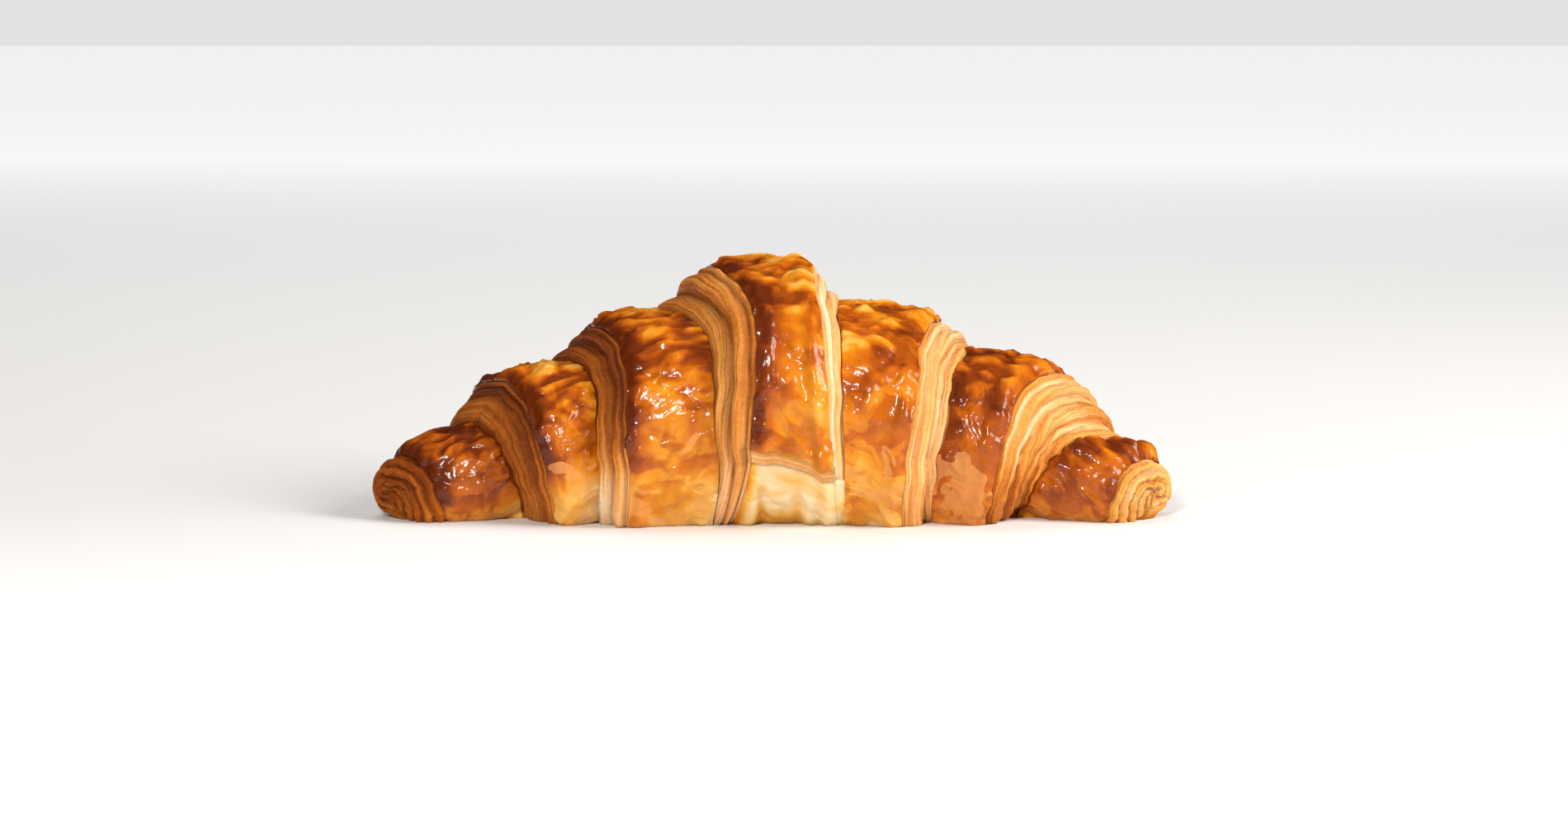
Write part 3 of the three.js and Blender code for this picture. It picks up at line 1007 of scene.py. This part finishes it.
@dataclass(frozen=True)
class EggWashedDough:
    """Egg-washed, oven-browned laminated dough.

    The wash bakes to a thin, clear, wrinkled gloss over an amber to dark brown skin. Where the layers were
    cut or the wash has flaked off, the dough is matt, paler and finely striped. The bumps are shares of the
    bump's own height in millimetres, and the amounts after them move the place on a colour ramp.
    """

    name: str = "egg_washed_laminated_dough"
    skin: tuple[tuple[float, str], ...] = ((0.0, "#E6D5AE"), (0.2, "#E4AE54"), (0.4, "#D08212"),
                                           (0.6, "#B05800"), (0.8, "#863800"), (1.0, "#5C2000"))
    layers: tuple[tuple[float, str], ...] = ((0.0, "#EFDAB4"), (0.2, "#EEB274"), (0.4, "#DC9040"),
                                             (0.6, "#B4621C"), (0.8, "#84400F"), (1.0, "#4E2008"))
    # The colour of the painted shade in grooves and gaps, and along the flap's end face.
    crevice: str = "#541E04"
    bare: str = "#D9985A"
    gloss: float = 0.5
    gloss_roughness: float = 0.12
    skin_roughness: float = 0.5
    layer_roughness: float = 0.62
    index: float = 1.45
    specular: float = 0.12
    coat_index: float = 1.5
    bump: float = 0.4
    pulled_bump: float = 2.4
    bubble_bump: float = 0.1
    crackle_bump: float = 0.2
    gap_bump: float = -0.4
    speck_bump: float = 0.4
    scatter: float = 0.12
    scatter_depth: float = 1.6
    scatter_colour: tuple[float, float, float] = (1.0, 0.45, 0.2)
    blotches: float = 0.62
    layer_blotches: float = 0.4
    grain: float = 0.2
    wash_pools: float = 0.08
    # Painted shade and highlight: darker wrinkle valleys and lighter ridges on the skin's upward faces.
    creases: float = 0.42
    crease_shade_offset: float = -0.07
    layer_contrast: float = 0.24
    speckle: float = 0.22
    stripes: float = 0.11
    worn_share: float = 0.5
    bare_strength: float = 0.55
    # How strongly the painted shade darkens the grooves and the gaps between the finest layers.
    crevice_strength: float = 0.95
    slit_shade_strength: float = 0.4

    def material(self) -> Material:
        """Builds the finish's nodes.

        Returns:
            The material.
        """
        material = bpy.data.materials.new(self.name)
        material.use_nodes = True
        tree = material.node_tree
        tree.nodes.clear()
        read = {name: put(tree, "ShaderNodeAttribute", attribute_name=name).outputs["Fac"]
                for name in (*MARKS, "valley_shade")}
        noise = self.patterns(tree, read["across"])
        centred = {name: put(tree, MATH, {0: noise[name], 1: 0.5}, operation="SUBTRACT")
                   for name in ("broad", "fine", "specks", "leaves")}
        gap = put(tree, MATH, {0: centred["leaves"]}, operation="ABSOLUTE")
        gap = put(tree, RANGE, {"Value": gap, "From Max": 0.022, "To Min": 1.0, "To Max": 0.0},
                  interpolation_type="SMOOTHSTEP")
        bare = add_up(tree, noise["flaked"], (read["worn"], self.worn_share))
        bare = put(tree, RANGE, {"Value": bare, "From Min": 0.985, "From Max": 1.0})
        washed = put(tree, MATH, {0: 1.0, 1: bare}, operation="SUBTRACT")
        washed = put(tree, MATH, {0: read["glaze"], 1: washed}, operation="MULTIPLY")
        coat = put(tree, MATH, {0: washed, 1: self.gloss}, operation="MULTIPLY")
        rough = put(tree, RANGE, {"Value": washed, "To Min": self.layer_roughness,
                                  "To Max": self.skin_roughness})

        rippled = add_up(tree, 0.0, (noise["bubbles"], self.bubble_bump), (noise["pulled"], self.pulled_bump))
        leafed = add_up(tree, noise["stripes"], (gap, self.gap_bump), (noise["specks"], self.speck_bump))
        height = put(tree, MIX, {0: read["cut"], 2: rippled, 3: leafed}, data_type="FLOAT")
        crackled = add_up(tree, height, (noise["bubbles"], self.crackle_bump))
        tall = self.bump * MM
        bump, wash = (put(tree, "ShaderNodeBump", {"Height": relief, "Strength": 1.0, "Distance": tall})
                      for relief in (height, crackled))
        shader = put(tree, "ShaderNodeBsdfPrincipled", {
            "Base Color": self.colour(tree, read, noise, centred, gap, bare), "Roughness": rough,
            "IOR": self.index, "Specular IOR Level": self.specular, "Coat Weight": coat,
            "Coat Roughness": self.gloss_roughness, "Coat IOR": self.coat_index, "Normal": bump,
            "Coat Normal": wash, "Subsurface Weight": self.scatter, "Subsurface Radius": self.scatter_colour,
            "Subsurface Scale": self.scatter_depth * MM})
        put(tree, "ShaderNodeOutputMaterial", {0: shader})
        return material

    @staticmethod
    def patterns(tree: NodeTree, across: NodeSocket) -> dict[str, Node]:
        """Adds the noise patterns.

        Args:
            tree: The finish's tree.
            across: Distance across the cut layers.

        Returns:
            Each pattern's node, by name.
        """
        rolled = put(tree, "ShaderNodeAttribute", attribute_name="rolled").outputs["Vector"]
        place = put(tree, "ShaderNodeTexCoord").outputs["Object"]
        layered = put(tree, "ShaderNodeCombineXYZ", {0: across})
        spaces = {
            Space.PLACE: put(tree, VECTOR, {0: place, 3: 1.0 / MM}, operation="SCALE"),
            Space.ROLLED: rolled,
            Space.ALONG: put(tree, VECTOR, {0: rolled, 1: (0.75, 1.0, 1.0)}, operation="MULTIPLY"),
            Space.STRIPED: put(tree, VECTOR, {0: rolled, 1: (0.0, 0.02, 0.02), 2: layered},
                               operation="MULTIPLY_ADD"),
        }
        noise = {}
        for name, pattern in PATTERNS.items():
            inputs = {"Vector": spaces[pattern.space], "Scale": 1.0 / pattern.size, "Detail": pattern.detail,
                      "Roughness": pattern.roughness, "Distortion": pattern.distortion}
            if pattern.seed is not None:
                inputs["W"] = pattern.seed
            noise[name] = put(tree, NOISE, inputs, noise_dimensions="4D" if "W" in inputs else "3D")
        return noise

    def colour(self, tree: NodeTree, read: dict, noise: dict, centred: dict, gap: Node,
               bare: Node) -> NodeSocket:
        """Adds the nodes for the colour.

        Args:
            tree: The finish's tree.
            read: The marks.
            noise: The patterns.
            centred: The patterns that vary about 0.
            gap: 1 in the gaps between the finest layers.
            bare: 1 where the wash has flaked off.

        Returns:
            The colour.
        """
        pooled = put(tree, RANGE, {"Value": noise["washes"], "From Min": 0.47, "From Max": 0.53,
                                   "To Min": -self.wash_pools, "To Max": self.wash_pools})
        # Painted shade and highlight: the wrinkles' valleys darker, their ridges lighter.
        creased = add_up(tree, self.crease_shade_offset, (read["valley_shade"], self.creases))
        browned = add_up(tree, read["bake"], (centred["broad"], self.blotches), (centred["fine"], self.grain),
                         (pooled, read["glaze"]), (creased, read["glaze"]))
        stripe = put(tree, RANGE, {"Value": noise["stripes"], "From Min": 0.34, "From Max": 0.66,
                                   "To Min": -self.stripes, "To Max": self.stripes})
        tone = add_up(tree, read["bake"], (read["layer"], self.layer_contrast), (stripe, 1.0),
                      (centred["specks"], self.speckle),
                      (centred["broad"], self.layer_blotches * self.blotches))
        skin, layers = (put(tree, "ShaderNodeValToRGB", {0: value}) for value in (browned, tone))
        self.fill(skin.color_ramp, self.skin)
        self.fill(layers.color_ramp, self.layers)

        # Painted shade in the gaps between the finest layers, broken up by a mottle, and in the grooves.
        broken = put(tree, RANGE, {"Value": noise["mottle"], "From Min": 0.42, "From Max": 0.56})
        slit_shade = put(tree, MATH, {0: gap, 1: broken}, operation="MULTIPLY")
        slit_shade = put(tree, MATH, {0: slit_shade, 1: read["cut"]}, operation="MULTIPLY")
        crevice, slit_shade, bare = (add_up(tree, 0.0, term) for term in (
            (read["crevice"], self.crevice_strength), (slit_shade, self.slit_shade_strength), (bare, self.bare_strength)))
        painted_shade_share = put(tree, MATH, {0: crevice, 1: slit_shade}, operation="MAXIMUM")
        colour = skin.outputs[0]
        for share, over in ((bare, linear(self.bare)), (read["cut"], layers), (painted_shade_share, linear(self.crevice))):
            colour = put(tree, MIX, {0: share, 6: colour, 7: over}, data_type="RGBA").outputs[2]
        return colour

    @staticmethod
    def fill(ramp: ColorRamp, stops: tuple[tuple[float, str], ...]) -> None:
        """Sets a ramp's stops.

        Args:
            ramp: The ramp.
            stops: (place, sRGB hex colour) pairs.
        """
        while len(ramp.elements) > 1:
            ramp.elements.remove(ramp.elements[-1])
        ramp.elements[0].position, ramp.elements[0].color = stops[0][0], linear(stops[0][1])
        for place, code in stops[1:]:
            ramp.elements.new(place).color = linear(code)


@dataclass
class CroissantCrust:
    """The whole croissant: its wraps, steps, flap and horns in one closed mesh."""

    sheet: RolledSheet
    relief: BakedRelief
    finish: EggWashedDough
    floor_height: float = 0.9

    def build(self) -> Object:
        """Makes the piece, fits it to its CAD box, attaches it to its body and hides the CAD part.

        Returns:
            The piece.
        """
        piece = bpy.data.objects.new("croissant_crust", self.sheet.mesh("croissant_crust"))
        bpy.context.collection.objects.link(piece)
        self.relief.press(piece, self.finish.material())
        self.settle(piece.data)
        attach(piece, BODY)
        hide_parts(NODE)
        LOG.info("%s: %d faces", piece.name, len(piece.data.polygons))
        return piece

    def settle(self, mesh: Mesh) -> None:
        """Flattens the underside and brings the mesh to the CAD box.

        Args:
            mesh: The croissant's mesh.
        """
        places = np.empty(len(mesh.vertices) * 3, np.float32)
        mesh.vertices.foreach_get("co", places)
        places = places.reshape(-1, 3).astype(float)
        places[:, 2] = np.maximum(places[:, 2], self.floor_height * MM)
        low, high = (np.array(corner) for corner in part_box(NODE))
        lowest, highest = places.min(axis=0), places.max(axis=0)
        LOG.info("before the fit: %s mm", ((highest - lowest) / MM).round(2))
        places = low + (places - lowest) * (high - low) / (highest - lowest)
        mesh.vertices.foreach_set("co", places.reshape(-1).astype(np.float32))
        mesh.update()


@dataclass(frozen=True)
class Studio:
    """A pale floor, soft lights and the camera. Angles are in degrees and lengths in metres."""

    elevation: float = 7.0
    distance: float = 0.748
    aim: tuple[float, float, float] = (0.0024, 0.0, 0.0198)
    lens: float = 85.0
    floor: str = "#E2E3E4"
    lamp: str = "#FFFAF4"
    floor_reach: float = 4.0
    floor_glow: float = 0.75
    glow_reach: float = 1.3
    world_light: float = 0.22
    world_mirrored: float = 0.03
    backdrop: float = 0.95

    def build(self) -> None:
        """Makes the floor, the world, the lights and the camera."""
        scene = bpy.context.scene
        scene.view_settings.view_transform = "Standard"
        mesh = bpy.data.meshes.new("floor")
        corners = [(x * self.floor_reach, y * self.floor_reach, CAD_BOX[0][2])
                   for x, y in ((-1, -1), (1, -1), (1, 1), (-1, 1))]
        mesh.from_pydata(corners, [], [(0, 1, 2, 3)])
        floor = bpy.data.objects.new("floor", mesh)
        material = bpy.data.materials.new("pale_matt_paper")
        material.use_nodes = True
        tree = material.node_tree
        tree.nodes.clear()
        place = put(tree, "ShaderNodeTexCoord").outputs["Object"]
        away = put(tree, "ShaderNodeSeparateXYZ", {0: place}).outputs["Y"]
        away = put(tree, MATH, {0: away}, operation="ABSOLUTE")
        glow = put(tree, RANGE, {"Value": away, "From Max": self.glow_reach, "To Max": self.floor_glow})
        shader = put(tree, "ShaderNodeBsdfPrincipled", {
            "Base Color": linear(self.floor), "Roughness": 0.9, "Emission Color": linear("#FFFFFF"),
            "Emission Strength": glow})
        put(tree, "ShaderNodeOutputMaterial", {0: shader})
        mesh.materials.append(material)
        scene.collection.objects.link(floor)

        world = bpy.data.worlds.new("soft_white")
        world.use_nodes = True
        tree = world.node_tree
        tree.nodes.clear()
        path = put(tree, "ShaderNodeLightPath").outputs
        lit = put(tree, RANGE, {"Value": path["Is Glossy Ray"], "To Min": self.world_light,
                                "To Max": self.world_mirrored})
        strength = put(tree, RANGE, {"Value": path["Is Camera Ray"], "To Min": lit, "To Max": self.backdrop})
        put(tree, "ShaderNodeOutputWorld", {0: put(tree, "ShaderNodeBackground", {1: strength})})
        scene.world = world

        self.light("key", azimuth=66.0, elevation=32.0, distance=0.9, size=(0.45, 0.45), power=7.6)
        self.light("strip", azimuth=58.0, elevation=24.0, distance=0.8, size=(0.05, 0.3), power=1.6)
        self.light("window", azimuth=-12.0, elevation=27.0, distance=0.8, size=(0.12, 0.16), power=4.4)
        self.light("top", azimuth=-150.0, elevation=70.0, distance=0.8, size=(0.6, 0.6), power=2.4,
                   mirrored=False)
        self.camera()

    def light(self, name: str, azimuth: float, elevation: float, distance: float, size: tuple[float, float],
              power: float, mirrored: bool = True) -> None:
        """Adds a soft box that looks at the croissant.

        Args:
            name: The light's name.
            azimuth: Degrees to the right of the camera, around the croissant.
            elevation: Degrees above the floor.
            distance: Metres from the croissant.
            size: Width and height in metres.
            power: Watts.
            mirrored: Whether glossy surfaces reflect it.
        """
        lamp = bpy.data.lights.new(name, "AREA")
        lamp.shape = "RECTANGLE"
        lamp.size, lamp.size_y = size
        lamp.energy = power
        lamp.color = linear(self.lamp)[:3]
        self.aim_at(bpy.data.objects.new(name, lamp), azimuth, elevation, distance).visible_glossy = mirrored

    def camera(self) -> None:
        """Adds the camera."""
        camera = bpy.data.cameras.new("camera")
        camera.lens = self.lens
        camera.clip_start = 0.01
        bpy.context.scene.camera = self.aim_at(bpy.data.objects.new("camera", camera), 0.0, self.elevation,
                                               self.distance)

    def aim_at(self, piece: Object, azimuth: float, elevation: float,
               distance: float) -> Object:
        """Places a light or the camera around the croissant, looking at it.

        Args:
            piece: The light or camera.
            azimuth: Degrees to the right of the front.
            elevation: Degrees above the floor.
            distance: Metres from the aim.

        Returns:
            The same object.
        """
        turn, rise = math.radians(azimuth), math.radians(elevation)
        away = Vector((math.sin(turn) * math.cos(rise), -math.cos(turn) * math.cos(rise), math.sin(rise)))
        piece.location = Vector(self.aim) + away * distance
        piece.rotation_euler = away.to_track_quat("Z", "Y").to_euler()
        bpy.context.scene.collection.objects.link(piece)
        return piece


def main() -> None:
    """Builds the studio and the croissant."""
    logging.basicConfig(level=logging.INFO, format="%(name)s: %(message)s")
    low, high = CAD_BOX
    Studio().build()
    sizes = RollSizes(half_length=0.5 * (high[0] - low[0]) / MM, depth=(high[1] - low[1]) / MM)
    CroissantCrust(RolledSheet(sizes), BakedRelief(), EggWashedDough()).build()


if __name__ == "__main__":
    main()
